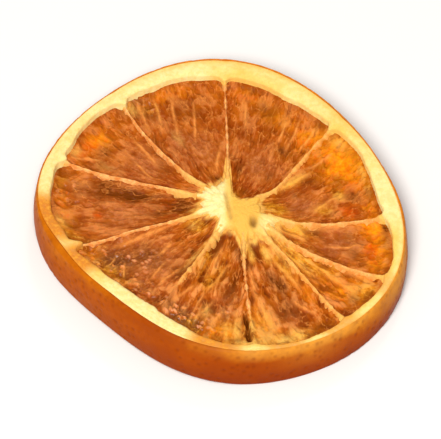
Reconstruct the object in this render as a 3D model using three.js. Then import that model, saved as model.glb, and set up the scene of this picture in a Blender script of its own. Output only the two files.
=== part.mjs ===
import * as THREE from "three";
import { mergeVertices } from "three/addons/utils/BufferGeometryUtils.js";

// One round slice of an orange, cut across and dried, lying on its wider face.
// Millimetres and degrees, +Z up. The origin is under the middle of the slice, where it rests.
// The rind and pith make a tall rim. The pulp dried to a sheet, sunk between the rim's two faces,
// and ten membranes stand out of it like spokes round a pale core of pith.

// The outline of the upper cut face: a mean radius, and the waves that the fruit's growth put on it
const FACE_RADIUS = 30.5;
const FACE_WAVES = [
  { waves: 1, depth: 0.52, peak: -139 },
  { waves: 2, depth: 2.25, peak: -44 },
  { waves: 3, depth: 0.59, peak: -48 },
  { waves: 4, depth: 0.61, peak: -6 },
  { waves: 5, depth: 0.22, peak: -35 },
];

// The rim, seen in section. Its band of pith is uneven, and widest behind.
const RIM_HEIGHT = 7.6;
const PITH_WIDTH = 2.35;
const PITH_WAVES = [
  { waves: 1, depth: 0.43, peak: 85 },
  { waves: 2, depth: 0.59, peak: 50 },
  { waves: 3, depth: 0.47, peak: -23 },
  { waves: 4, depth: 0.16, peak: -6 },
  { waves: 5, depth: 0.21, peak: 10 },
  { waves: 6, depth: 0.12, peak: -1 },
  { waves: 7, depth: 0.13, peak: 6 },
  { waves: 8, depth: 0.17, peak: 4 },
];
const WALL_LEAN = 0.5; // the foot of the rim's inner wall lies this far inside its top
const RIND_BULGE = 0.45;
const BASE_SHIFT = 1.5; // the cut is a little askew, so the base lies this far towards -Y

// The dried pulp, its ten membranes and the core
const SINK_ABOVE = 1.9;
const SINK_BELOW = 2.1;
const CORE_RISE = 1;
const CORE_FLARE = 0.18; // the share of a ray over which the core slopes down into the pulp
const SAG = 0.35;
const RIPPLES = [
  { depth: 0.18, length: 17, heading: 30 },
  { depth: 0.11, length: 8.5, heading: 76 },
  { depth: 0.09, length: 6.5, heading: 150 },
];
const CLEAR_BELOW = 0.4; // the pulp's underside never hangs lower than this
const CORE = { x: 1.5, y: 0, halfLength: 3.6, halfWidth: 1.3, turn: -31.5 };
const RIDGE_HEIGHT = 0.75;
const RIDGE_HALF_WIDTH = 0.8;
const RIDGE_HEEL = { from: 0.8, extra: 0.5 }; // each ridge rises to meet the rim's wall
const WALL_CLIMB = { from: 0.9, height: 0.6 }; // and so does the pulp between, nearer the wall
// Where each membrane meets the rim, and how far its middle bows and its two halves snake sideways
const MEMBRANES = [
  { rim: -162, bow: 0.2, snake: 0 },
  { rim: -118.8, bow: 0.25, snake: -0.1 },
  { rim: -80, bow: -0.4, snake: 0 },
  { rim: -49, bow: 0, snake: 0 },
  { rim: -28, bow: -1.5, snake: 0 },
  { rim: -4, bow: -1.7, snake: 0 },
  { rim: 41.7, bow: -1.2, snake: -0.4 },
  { rim: 90.3, bow: -0.2, snake: 0 },
  { rim: 128, bow: 1.6, snake: -0.1 },
  { rim: 159.5, bow: 0.5, snake: -0.4 },
];
const FULL_STRAY = 0.3; // nearer the core than this share of its ray, a membrane strays less
// Along one membrane the pulp has split open near the rim
const SLIT = { membrane: 2, from: 0.66, to: 0.97, depth: 1.1 };

// The slice dried out of flat: two opposite sides of the rim curled up
const CURL = { lift: 0.75, highSide: -130 };

// The surface is a lathe turned in plan: so many columns to a segment of the fruit
const COLUMNS_PER_SEGMENT = 12;
const COLUMN_CROWDING = 0.06; // draws the columns towards the membranes
const PULP_REACHES = [0.98, 0.91, 0.81, 0.69, 0.56, 0.43, 0.31, 0.2, 0.11, 0.04];
const UNDERSIDE_REACHES = [0.05, 0.16, 0.32, 0.5, 0.68, 0.85, 0.97];
// Rows of the rim: a share of the way from its inner to its outer edge, and a height off its face
const UPPER_RIM = [
  { share: 1, off: 0.7 },
  { share: 0.8, off: 0.1 },
  { share: 0.55, off: 0 },
  { share: 0.2, off: 0.05 },
  { share: 0.03, off: 0.35 },
];
const LOWER_RIM = [
  { share: 0, off: 0.4 },
  { share: 0.15, off: 0 },
  { share: 0.5, off: 0 },
  { share: 0.9, off: 0 },
];
const RIND_LEVELS = [0.1, 0.3, 0.55, 0.8]; // shares of the rim's height

const DEGREE = Math.PI / 180;
const SEGMENTS = MEMBRANES.length;

const cosine = (angle) => Math.cos(angle * DEGREE);
const sine = (angle) => Math.sin(angle * DEGREE);
const mix = (from, to, share) => from + (to - from) * share;

// The sum of some waves round the slice at an angle
function wavesAt(angle, list) {
  return list.reduce((sum, { waves, depth, peak }) => sum + depth * cosine(waves * (angle - peak)), 0);
}

// Outlines in plan, as a radius at an angle about the middle of the upper face

const faceRadius = (angle) => FACE_RADIUS + wavesAt(angle, FACE_WAVES);
const pithWidth = (angle) => PITH_WIDTH + wavesAt(angle, PITH_WAVES);

// How far the rim curled up at a point of the plan
function curl(x, y) {
  const share = Math.hypot(x, y) / FACE_RADIUS;
  const angle = Math.atan2(y, x) / DEGREE;
  return CURL.lift * share ** 2 * cosine(2 * (angle - CURL.highSide));
}

// The pulp's plan: rays from the edge of the long core to the foot of the rim's inner wall

function corePoint(angle) {
  const along = CORE.halfLength * cosine(angle - CORE.turn);
  const across = CORE.halfWidth * sine(angle - CORE.turn);
  return {
    x: CORE.x + along * cosine(CORE.turn) - across * sine(CORE.turn),
    y: CORE.y + along * sine(CORE.turn) + across * cosine(CORE.turn),
  };
}

function pulpPoint(angle, reach) {
  const core = corePoint(angle);
  const foot = faceRadius(angle) - pithWidth(angle) - WALL_LEAN;
  return {
    x: mix(core.x, foot * cosine(angle), reach),
    y: mix(core.y, foot * sine(angle), reach),
  };
}

// The angle at which a membrane's ray is drawn at a reach, counted on past the last membrane
function membraneAngle(index, reach) {
  const { rim, bow, snake } = MEMBRANES[index % SEGMENTS];
  const aside = bow * Math.sin(Math.PI * reach) + snake * Math.sin(2 * Math.PI * reach);
  const strayed = aside / (FACE_RADIUS * Math.max(reach, FULL_STRAY)) / DEGREE;
  return rim + strayed + (index >= SEGMENTS ? 360 : 0);
}

// A column's place: the segment it lies in, and its share of the way to the next membrane
function columnPlace(column) {
  const segment = Math.floor(column / COLUMNS_PER_SEGMENT);
  const even = (column % COLUMNS_PER_SEGMENT) / COLUMNS_PER_SEGMENT;
  return { segment, share: even - COLUMN_CROWDING * Math.sin(2 * Math.PI * even) };
}

function columnAngle(place, reach) {
  return mix(membraneAngle(place.segment, reach), membraneAngle(place.segment + 1, reach), place.share);
}

// Heights of the pulp above and below the middle of its sheet

// How far a membrane stands out at a column, less where the pulp has split along it
function ridge(place, reach, span) {
  const nearest = place.share < 0.5 ? place.segment : place.segment + 1;
  const away = Math.min(place.share, 1 - place.share) * span;
  const closeness = Math.exp(-((away / RIDGE_HALF_WIDTH) ** 2));
  const split = nearest % SEGMENTS === SLIT.membrane && reach > SLIT.from && reach < SLIT.to;
  if (split) return -SLIT.depth * closeness;
  const heel = Math.max(0, (reach - RIDGE_HEEL.from) / (1 - RIDGE_HEEL.from));
  return (RIDGE_HEIGHT + RIDGE_HEEL.extra * heel ** 2) * closeness;
}

function ripple(x, y) {
  const waves = RIPPLES.map(({ depth, length, heading }) => {
    const along = x * cosine(heading) + y * sine(heading);
    return depth * sine((360 * along) / length + heading);
  });
  return waves.reduce((sum, wave) => sum + wave, 0);
}

// The relief that both faces of the sheet share: core, membranes, and pulp sagging between them
function relief(place, reach, x, y) {
  const angle = columnAngle(place, reach);
  const width = membraneAngle(place.segment + 1, reach) - membraneAngle(place.segment, reach);
  const span = reach * faceRadius(angle) * width * DEGREE;
  const core = CORE_RISE * Math.exp(-((reach / CORE_FLARE) ** 2));
  const sag = SAG * Math.sin(Math.PI * place.share) * Math.sin(Math.PI * reach);
  const climb = WALL_CLIMB.height * Math.max(0, (reach - WALL_CLIMB.from) / (1 - WALL_CLIMB.from));
  return Math.max(core, climb, ridge(place, reach, span)) - sag + ripple(x, y) * Math.sin(Math.PI * reach);
}

// One function for each stretch of the section. Each gives the point of a column.

function upperPulp(reach) {
  return (place) => {
    const { x, y } = pulpPoint(columnAngle(place, reach), reach);
    return [x, y, RIM_HEIGHT - SINK_ABOVE + relief(place, reach, x, y) + curl(x, y)];
  };
}

function lowerPulp(reach) {
  return (place) => {
    const { x, y } = pulpPoint(columnAngle(place, reach), reach);
    const height = SINK_BELOW - relief(place, reach, x, -y) + curl(x, y);
    return [x, y - BASE_SHIFT, Math.max(height, CLEAR_BELOW)];
  };
}

function coreTop() {
  return () => [CORE.x, CORE.y, RIM_HEIGHT - SINK_ABOVE + CORE_RISE];
}

function coreUnderside() {
  return () => [CORE.x, CORE.y - BASE_SHIFT, SINK_BELOW - CORE_RISE];
}

// A point of a cut face of the rim, between its inner edge (0) and its outer edge (1)
function rimPoint(place, share) {
  const angle = columnAngle(place, 1);
  const radius = faceRadius(angle) - pithWidth(angle) * (1 - share);
  return { x: radius * cosine(angle), y: radius * sine(angle) };
}

function upperRim({ share, off }) {
  return (place) => {
    const { x, y } = rimPoint(place, share);
    return [x, y, RIM_HEIGHT - off + curl(x, y)];
  };
}

// The lower cut face, settled flat wherever it meets what it lies on
function lowerRim({ share, off }) {
  return (place) => {
    const { x, y } = rimPoint(place, share);
    return [x, y - BASE_SHIFT, off + Math.max(curl(x, y), 0)];
  };
}

// The rind, at a share of the rim's height
function rind(level) {
  return (place) => {
    const angle = columnAngle(place, 1);
    const radius = faceRadius(angle) + RIND_BULGE * Math.sin(Math.PI * level);
    const [x, y] = [radius * cosine(angle), radius * sine(angle)];
    const height = mix(Math.max(curl(x, y), 0), RIM_HEIGHT + curl(x, y), level);
    return [x, y - BASE_SHIFT * (1 - level), height];
  };
}

// The whole section, from under the core out round the rim and back over the pulp to the core
const SECTION = [
  coreUnderside(),
  ...UNDERSIDE_REACHES.map(lowerPulp),
  ...LOWER_RIM.map(lowerRim),
  ...RIND_LEVELS.map(rind),
  ...UPPER_RIM.map(upperRim),
  ...PULP_REACHES.map(upperPulp),
  coreTop(),
];

// A plain lathe of that many rings and columns, with each vertex then set where the slice has it
function sliceGeometry() {
  const last = SECTION.length - 1;
  const profile = SECTION.map((_, row) => {
    const turn = (Math.PI * row) / last;
    return new THREE.Vector2(Math.sin(turn), -Math.cos(turn));
  });
  const columns = SEGMENTS * COLUMNS_PER_SEGMENT;
  const geometry = new THREE.LatheGeometry(profile, columns);
  const position = geometry.getAttribute("position");
  for (let column = 0; column <= columns; column++) {
    const place = columnPlace(column % columns);
    SECTION.forEach((pointOf, row) => {
      position.setXYZ(column * SECTION.length + row, ...pointOf(place));
    });
  }
  geometry.deleteAttribute("normal");
  geometry.deleteAttribute("uv");
  const closed = mergeVertices(geometry, 1e-4);
  closed.computeBoundingBox();
  const middle = closed.boundingBox.getCenter(new THREE.Vector3());
  closed.translate(-middle.x, -middle.y, -closed.boundingBox.min.z);
  closed.computeVertexNormals();
  return closed;
}

const amber = new THREE.MeshStandardMaterial({ color: "#d07e32", roughness: 0.5, metalness: 0 });

const slice = new THREE.Mesh(sliceGeometry(), amber);
slice.name = "orange_slice";

const group = new THREE.Group();
group.add(slice);

export default group;
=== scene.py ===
# %% [markdown]
# A dried orange slice
#
# One round slice, cut across the fruit and dried until the pulp shrank to a thin sheet.
# The packed solid gives its size and place. These cells build the pieces that the eye tells
# apart on the real thing: rind, pith, ten segments of pulp, ten membranes and the core.

# %% The packed model as a fixed frame
import math

import bpy
import numpy as np
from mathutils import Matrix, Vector


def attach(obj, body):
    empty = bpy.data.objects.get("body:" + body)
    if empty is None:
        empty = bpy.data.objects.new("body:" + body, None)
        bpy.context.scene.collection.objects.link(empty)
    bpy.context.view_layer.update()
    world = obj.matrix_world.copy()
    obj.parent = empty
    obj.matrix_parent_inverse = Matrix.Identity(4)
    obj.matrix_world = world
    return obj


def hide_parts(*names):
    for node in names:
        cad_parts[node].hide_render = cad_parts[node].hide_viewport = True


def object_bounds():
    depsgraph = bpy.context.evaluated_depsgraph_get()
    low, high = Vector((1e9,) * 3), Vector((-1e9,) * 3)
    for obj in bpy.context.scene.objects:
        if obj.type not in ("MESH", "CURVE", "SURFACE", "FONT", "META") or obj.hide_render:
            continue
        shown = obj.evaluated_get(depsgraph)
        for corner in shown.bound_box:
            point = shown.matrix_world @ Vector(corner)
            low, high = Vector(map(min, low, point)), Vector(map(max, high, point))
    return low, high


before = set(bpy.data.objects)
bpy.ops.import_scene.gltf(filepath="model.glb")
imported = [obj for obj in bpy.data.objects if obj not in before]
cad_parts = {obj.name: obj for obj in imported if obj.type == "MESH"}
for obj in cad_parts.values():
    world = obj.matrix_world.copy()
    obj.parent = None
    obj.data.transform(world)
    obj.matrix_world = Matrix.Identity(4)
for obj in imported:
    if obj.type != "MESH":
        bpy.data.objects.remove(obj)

cad_low, cad_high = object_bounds()
print("the packed slice, mm:", [round(1000 * (h - l), 1) for l, h in zip(cad_low, cad_high)])

# %% [markdown]
# The plan of the slice
#
# Everything on the slice follows a few curves seen from above: the outline of the cut face,
# the inner edge of the pith, and the lines of the membranes. They are functions of an angle
# about the middle of the face, so that every piece can ask for the same curve at its own
# fineness. Sizes are in millimetres and angles in degrees until a mesh is made.

# %% Sizes of the outline and the rim
MM = 0.001
FACE_RADIUS = 30.5
# Waves round the slice: how many, their depth, and the angle of a peak
FACE_WAVES = ((1, 0.52, -139), (2, 2.25, -44), (3, 0.59, -48), (4, 0.61, -6), (5, 0.22, -35))
RIM_HEIGHT = 7.6
PITH_WIDTH = 2.35
PITH_WAVES = (
    (1, 0.43, 85), (2, 0.59, 50), (3, 0.47, -23), (4, 0.16, -6),
    (5, 0.21, 10), (6, 0.12, -1), (7, 0.13, 6), (8, 0.17, 4),
)
WALL_LEAN = 0.5
RIND_BULGE = 0.45
BASE_SHIFT = 1.5
CURL_LIFT, CURL_HIGH_SIDE = 0.75, -130


def cosine(angle):
    return np.cos(np.radians(angle))


def sine(angle):
    return np.sin(np.radians(angle))


def mix(start, end, share):
    return start + (end - start) * share


def fade(value, start, end):
    """0 at start, 1 at end, with a smooth slope between."""
    share = np.clip((value - start) / (end - start), 0, 1)
    return share * share * (3 - 2 * share)


def turn_between(angle, middle):
    """The turn from a middle angle, between -180 and 180."""
    return (angle - middle + 540) % 360 - 180


def bell(away, reach):
    return np.exp(-((away / reach) ** 2))


def waves_at(angle, waves):
    return sum(depth * cosine(count * (angle - peak)) for count, depth, peak in waves)


def hills(angle, table):
    """The sum of a table's hills: the middle of each, its reach and its height."""
    return sum(height * bell(turn_between(angle, middle), reach) for middle, reach, height in table)


def face_radius(angle):
    return FACE_RADIUS + waves_at(angle, FACE_WAVES)


def pith_width(angle):
    return PITH_WIDTH + waves_at(angle, PITH_WAVES)


def curl(x, y):
    """How far the slice curled up at a point of its plan."""
    turn = np.arctan2(y, x) - math.radians(CURL_HIGH_SIDE)
    return CURL_LIFT * (np.hypot(x, y) / FACE_RADIUS) ** 2 * np.cos(2 * turn)


all_round = np.linspace(-180, 180, 721)
for name, curve in (("face radius", face_radius), ("pith width", pith_width)):
    print(name, "in mm:", curve(all_round).min().round(1), "to", curve(all_round).max().round(1))

# %% The core and the membranes in plan
CORE_X, CORE_Y = 1.5, 0.0
CORE_HALF_LENGTH, CORE_HALF_WIDTH, CORE_TURN = 3.6, 1.3, -31.5
FULL_STRAY = 0.3
# For each membrane: the angle where it meets the rim, the bow of its middle, the snaking of its
# halves, the length of the tooth that the pith puts out to it, and how stout it is
MEMBRANES = (
    (-162, 0.2, 0, 2.1, 0.9),
    (-118.8, 0.25, -0.1, 0.2, 1.8),
    (-80, -0.5, 0, 0.4, 1.45),
    (-49, 0, 0, 0.4, 1.6),
    (-28, -1.5, 0, 0.5, 1.54),
    (-4, -1.7, 0, 0.7, 1.54),
    (41.7, -1.2, -0.4, 1.2, 1.6),
    (90.3, -0.2, 0, 0.9, 1.1),
    (128, 1.35, -0.1, 1.2, 1.15),
    (159.5, 0.5, -0.4, 1.0, 1.1),
)
SEGMENTS = len(MEMBRANES)


def membrane_angle(index, reach):
    """The angle of a membrane's ray, at a reach from 0 at the core to 1 at the rim's wall."""
    rim, bow, snake, _, _ = MEMBRANES[index % SEGMENTS]
    aside = bow * np.sin(math.pi * reach) + snake * np.sin(2 * math.pi * reach)
    strayed = np.degrees(aside / (FACE_RADIUS * np.maximum(reach, FULL_STRAY)))
    return rim + strayed + 360 * (index // SEGMENTS)


def core_edge(angle):
    along = CORE_HALF_LENGTH * cosine(angle - CORE_TURN)
    across = CORE_HALF_WIDTH * sine(angle - CORE_TURN)
    x = CORE_X + along * cosine(CORE_TURN) - across * sine(CORE_TURN)
    y = CORE_Y + along * sine(CORE_TURN) + across * cosine(CORE_TURN)
    return x, y


def wall_foot(angle):
    return face_radius(angle) - pith_width(angle) - WALL_LEAN


def pulp_plan(angle, reach):
    """A point of the pulp in plan, on the ray from the core's edge to the foot of the wall."""
    core_x, core_y = core_edge(angle)
    foot = wall_foot(angle)
    return mix(core_x, foot * cosine(angle), reach), mix(core_y, foot * sine(angle), reach)


widths = [membrane_angle(k + 1, 1.0) - membrane_angle(k, 1.0) for k in range(SEGMENTS)]
print("segments of", round(min(widths)), "to", round(max(widths)), "degrees")

# %% How far the pale pith of the core goes along each ray
HOLE_X, HOLE_Y, HOLE_DEPTH = 4.8, -3.15, 0.9
HOLE_HALF_WIDTH, HOLE_HALF_LENGTH = 0.6, 1.05
# The core's body: an angle and how far it reaches there
CORE_BODY = (
    (-180, 0.10), (-165, 0.13), (-150, 0.12), (-140, 0.09), (-128, 0.12), (-112, 0.12), (-98, 0.14),
    (-88, 0.17), (-80, 0.19), (-72, 0.18), (-60, 0.17), (-48, 0.18), (-38, 0.17), (-28, 0.21),
    (-18, 0.18), (-8, 0.12), (2, 0.10), (18, 0.12), (32, 0.08), (45, 0.06), (60, 0.03), (78, 0.04),
    (88, 0.12), (99, 0.18), (108, 0.13), (118, 0.13), (138, 0.11), (158, 0.12), (172, 0.09),
)
# How much further an arm goes along each membrane, and half its turn
CORE_ARMS = (
    (0.13, 4.5), (0.16, 5), (0.09, 4), (0.10, 4), (0.10, 4),
    (0.16, 4), (0.13, 6), (0.24, 4.5), (0.07, 3), (0.11, 3.5),
)
FRAY = ((7, 0.006, 33), (11, 0.007, -50), (19, 0.006, 8), (31, 0.004, 3))


def hole(x, y):
    """1 in the middle of the hole where the core dried open, and 0 outside it."""
    return bell(x - HOLE_X, HOLE_HALF_WIDTH) * bell(y - HOLE_Y, HOLE_HALF_LENGTH)


def star_reach(angle):
    """The core's edge: an uneven body with an arm to each membrane."""
    at, body = zip(*CORE_BODY)
    reach = np.interp(angle, at, body, period=360)
    for index, (length, half_turn) in enumerate(CORE_ARMS):
        away = turn_between(angle, membrane_angle(index, 0.25))
        reach = reach + length * bell(away, half_turn)
    return reach + waves_at(angle, FRAY)


print("the core reaches", star_reach(all_round).min().round(2), "to", star_reach(all_round).max().round(2))

# %% Heights of the dried pulp
SINK_ABOVE, SINK_BELOW = 1.9, 2.1
CLEAR_BELOW = 0.45
CORE_RISE, CORE_FLARE = 1.0, 0.18
SAG = 0.4
RIPPLES = ((0.18, 17, 30), (0.11, 8.5, 76), (0.09, 6.5, 150))  # depth, length and heading of each
SHOULDER, SHOULDER_HALF_WIDTH = 0.4, 0.8  # the pulp that clings to a membrane and climbs it
WALL_CLIMB = 0.6
NEAR_CLIMB, NEAR_CLIMB_AT, NEAR_CLIMB_TURN = 0.4, -78, 18
SLIT_MEMBRANE, SLIT_FROM, SLIT_TO = 2, 0.68, 0.97
SLIT_DEPTH, SLIT_HALF_WIDTH, SLIT_ASIDE = 1.8, 0.3, -0.75
SLIT_WANDER, SLIT_BENDS = 0.12, 40


def ripple(x, y):
    return sum(
        depth * sine(360 * (x * cosine(heading) + y * sine(heading)) / length + heading)
        for depth, length, heading in RIPPLES
    )


def pulp_relief(x, y, share, reach, width):
    """Height of a segment's skin over its plain sheet, width being the segment's local width."""
    shoulder = SHOULDER * bell(np.minimum(share, 1 - share) * width, SHOULDER_HALF_WIDTH)
    core = CORE_RISE * bell(reach, CORE_FLARE)
    swing = np.sin(math.pi * np.clip(reach, 0, 1))
    sag = SAG * np.sin(math.pi * share) * swing**0.7
    climb = WALL_CLIMB * fade(reach, 0.9, 1.0)
    return np.maximum(core, shoulder) + climb - sag + ripple(x, y) * swing


def near_foot(angle, reach):
    """1 at the foot of the near wall, where the pulp climbs higher and dried golden."""
    return bell(turn_between(angle, NEAR_CLIMB_AT), NEAR_CLIMB_TURN) * fade(reach, 0.84, 0.97)


def slit(segment, share, reach, width):
    """The split in the pulp, just beside one membrane."""
    if segment != SLIT_MEMBRANE - 1:
        return np.zeros_like(share)
    along = fade(reach, SLIT_FROM, SLIT_FROM + 0.1) * fade(reach, SLIT_TO, SLIT_TO - 0.04)
    wander = SLIT_WANDER * np.sin(SLIT_BENDS * reach)
    return SLIT_DEPTH * along * bell((share - 1) * width - SLIT_ASIDE - wander, SLIT_HALF_WIDTH)


def upper_height(relief, x, y):
    return RIM_HEIGHT - SINK_ABOVE + relief + curl(x, y)


def lower_height(relief, x, y):
    return np.maximum(SINK_BELOW - relief + curl(x, y), CLEAR_BELOW)


print("the pulp's sheet is", round(RIM_HEIGHT - SINK_ABOVE - SINK_BELOW, 1), "mm thick")

# %% [markdown]
# From grids of points to meshes
#
# Rind, pith, pulp and core are all grids of points that close on themselves, so one helper
# joins any grid into quads. The slice is centred on the packed solid, by the outline of its rind.

# %% Mesh helpers
def centring():
    """What moves the plan's own middle to the middle of the packed box."""
    level = np.linspace(0, 1, 41)[:, None]
    radius = face_radius(all_round) + RIND_BULGE * np.sin(math.pi * level)
    x = radius * cosine(all_round)
    y = radius * sine(all_round) - BASE_SHIFT * (1 - level)
    middle_x = (cad_low[0] + cad_high[0]) / 2 / MM
    middle_y = (cad_low[1] + cad_high[1]) / 2 / MM
    return np.array([middle_x - (x.min() + x.max()) / 2, middle_y - (y.min() + y.max()) / 2, 0])


CENTRING = centring()
print("the plan is moved by, mm:", CENTRING.round(2))


def grid_quads(rows, columns, wrap_rows=False):
    """The quads of a grid whose columns close in a ring. A point's index is row * columns + column."""
    r = np.arange(rows if wrap_rows else rows - 1)[:, None]
    c = np.arange(columns)[None, :]
    next_r, next_c = (r + 1) % rows, (c + 1) % columns
    corners = [r * columns + c, r * columns + next_c, next_r * columns + next_c, next_r * columns + c]
    return np.stack(np.broadcast_arrays(*corners), -1).reshape(-1, 4)


def faces_outward(points, faces):
    """The same quads, turned round if they enclose a negative volume."""
    corners = points[faces]
    cross = np.cross(corners[:, 2] - corners[:, 0], corners[:, 3] - corners[:, 1])
    volume = (corners.mean(1) * cross).sum()
    return faces if volume > 0 else faces[:, ::-1]


def add_mark(mesh, name, values):
    """Gives each point of a mesh a number or a vector, by name."""
    values = np.asarray(values, np.float32)
    is_vector = values.ndim == 2
    attribute = mesh.attributes.new(name, "FLOAT_VECTOR" if is_vector else "FLOAT", "POINT")
    attribute.data.foreach_set("vector" if is_vector else "value", values.ravel())


def make_object(name, mesh):
    made = bpy.data.objects.new(name, mesh)
    bpy.context.collection.objects.link(made)
    return made


def make_piece(name, points, faces, marks):
    """A smooth mesh object from points in mm."""
    points = np.asarray(points).reshape(-1, 3)
    mesh = bpy.data.meshes.new(name)
    faces = faces_outward(points, faces)
    mesh.from_pydata(((points + CENTRING) * MM).tolist(), [], faces.tolist())
    mesh.shade_smooth()
    for mark, values in marks.items():
        add_mark(mesh, mark, values)
    return make_object(name, mesh)


def join_body(piece):
    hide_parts("orange_slice")
    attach(piece, "root")
    print(piece.name, "has", len(piece.data.polygons), "faces")


# %% [markdown]
# Short calls for nodes
#
# Shader trees and Geometry Nodes trees take many of the same nodes. A small class that adds a
# node, sets its values and links its sockets keeps each tree readable as a list of steps.

# %% A class that wires a tree
class Wiring:
    """Adds nodes to one tree. Its inputs and outputs are named sockets."""

    def __init__(self, name, kind, inputs, output):
        self.tree = bpy.data.node_groups.new(name, kind)
        self.sockets = {}
        for label, socket_type, value in inputs:
            socket = self.tree.interface.new_socket(label, in_out="INPUT", socket_type=socket_type)
            if value is not None:
                socket.default_value = value
            self.sockets[label] = socket.identifier
        self.tree.interface.new_socket(output[0], in_out="OUTPUT", socket_type=output[1])
        self.given = self.tree.nodes.new("NodeGroupInput").outputs
        self.result = self.tree.nodes.new("NodeGroupOutput").inputs

    def fill(self, socket, value):
        if isinstance(value, bpy.types.NodeSocket):
            self.tree.links.new(value, socket)
        else:
            socket.default_value = value

    def add(self, kind, inputs=None, **settings):
        made = self.tree.nodes.new(kind)
        for label, value in settings.items():
            setattr(made, label, value)
        for label, value in (inputs or {}).items():
            self.fill(made.inputs[label], value)
        return made

    def math(self, operation, *values):
        return self.add("ShaderNodeMath", dict(enumerate(values)), operation=operation).outputs[0]

    def times(self, *values):
        result = values[0]
        for value in values[1:]:
            result = self.math("MULTIPLY", result, value)
        return result

    def plus(self, *values):
        result = values[0]
        for value in values[1:]:
            result = self.math("ADD", result, value)
        return result

    def vector(self, operation, *values):
        return self.add("ShaderNodeVectorMath", dict(enumerate(values)), operation=operation).outputs[0]

    def scaled(self, vector, scale):
        node = self.add("ShaderNodeVectorMath", {0: vector, "Scale": scale}, operation="SCALE")
        return node.outputs[0]

    def fade(self, value, start, end, low=0.0, high=1.0):
        inputs = dict(enumerate((value, start, end, low, high)))
        return self.add("ShaderNodeMapRange", inputs, interpolation_type="SMOOTHSTEP").outputs[0]

    def noise(self, vector, scale, detail=2.0, roughness=0.5):
        inputs = {"Vector": vector, "Scale": scale, "Detail": detail, "Roughness": roughness}
        return self.add("ShaderNodeTexNoise", inputs).outputs

    def swing(self, vector, scale, depth, detail=2.0):
        """Noise between minus and plus about half its depth."""
        centred = self.math("SUBTRACT", self.noise(vector, scale, detail)[0], 0.5)
        return self.times(centred, depth)

    def voronoi(self, vector):
        inputs = {"Vector": vector, "Scale": 1.0, "Randomness": 0.9}
        return self.add("ShaderNodeTexVoronoi", inputs).outputs

    def combine(self, x, y, z):
        return self.add("ShaderNodeCombineXYZ", {0: x, 1: y, 2: z}).outputs[0]

    def split(self, vector):
        return self.add("ShaderNodeSeparateXYZ", {0: vector}).outputs

    def end(self, value):
        """Gives out the tree's result, and says how large the tree became."""
        self.fill(self.result[0], value)
        print(self.tree.name, "has", len(self.tree.nodes), "nodes")
        return self.tree


print("short calls:", ", ".join(name for name in vars(Wiring) if name[0] != "_"))

# %% Geometry Nodes trees
class Growth(Wiring):
    """A Geometry Nodes tree. It takes and gives back one geometry, and dresses it in a material."""

    def __init__(self, name, inputs):
        first = (("Piece", "NodeSocketGeometry", None),)
        last = (("Seed", "NodeSocketFloat", 0.0), ("Material", "NodeSocketMaterial", None))
        super().__init__(name, "GeometryNodeTree", first + inputs + last, ("Piece", "NodeSocketGeometry"))
        self.mesh = self.given["Piece"]

    def named(self, name, kind="FLOAT"):
        """A value that the mesh's points carry."""
        return self.add("GeometryNodeInputNamedAttribute", {"Name": name}, data_type=kind).outputs[0]

    def place(self):
        """Where a point is, in mm, moved by the seed so that no two pieces share a pattern."""
        here = self.scaled(self.add("GeometryNodeInputPosition").outputs[0], 1 / MM)
        return self.vector("ADD", here, self.combine(*[self.given["Seed"]] * 3))

    def store(self, geometry, name, value, kind="FLOAT"):
        inputs = {"Geometry": geometry, "Name": name, "Value": value}
        return self.add("GeometryNodeStoreNamedAttribute", inputs, data_type=kind).outputs[0]

    def move(self, geometry, **inputs):
        node = self.add("GeometryNodeSetPosition", {"Geometry": geometry, **inputs})
        return node.outputs[0]

    def swell(self, geometry, height):
        """Moves points along their normals, by a height in mm."""
        normal = self.add("GeometryNodeInputNormal").outputs[0]
        return self.move(geometry, Offset=self.scaled(normal, self.times(height, MM)))

    def end(self, geometry):
        real = self.add("GeometryNodeRealizeInstances", {0: geometry}).outputs[0]
        inputs = {"Geometry": real, "Material": self.given["Material"]}
        return super().end(self.add("GeometryNodeSetMaterial", inputs).outputs[0])


def grow(piece, growth, **values):
    """Runs a Geometry Nodes tree on a piece and keeps its result as a plain mesh."""
    modifier = piece.modifiers.new(growth.tree.name, "NODES")
    modifier.node_group = growth.tree
    for label, value in values.items():
        modifier[growth.sockets[label.replace("_", " ")]] = value
    depsgraph = bpy.context.evaluated_depsgraph_get()
    evaluated = piece.evaluated_get(depsgraph)
    mesh = bpy.data.meshes.new_from_object(evaluated, preserve_all_data_layers=True, depsgraph=depsgraph)
    mesh.shade_smooth()
    name = piece.name
    bpy.data.objects.remove(piece)
    mesh.name = name
    return make_object(name, mesh)


print("a growth adds:", ", ".join(name for name in vars(Growth) if name[0] != "_"))

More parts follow.
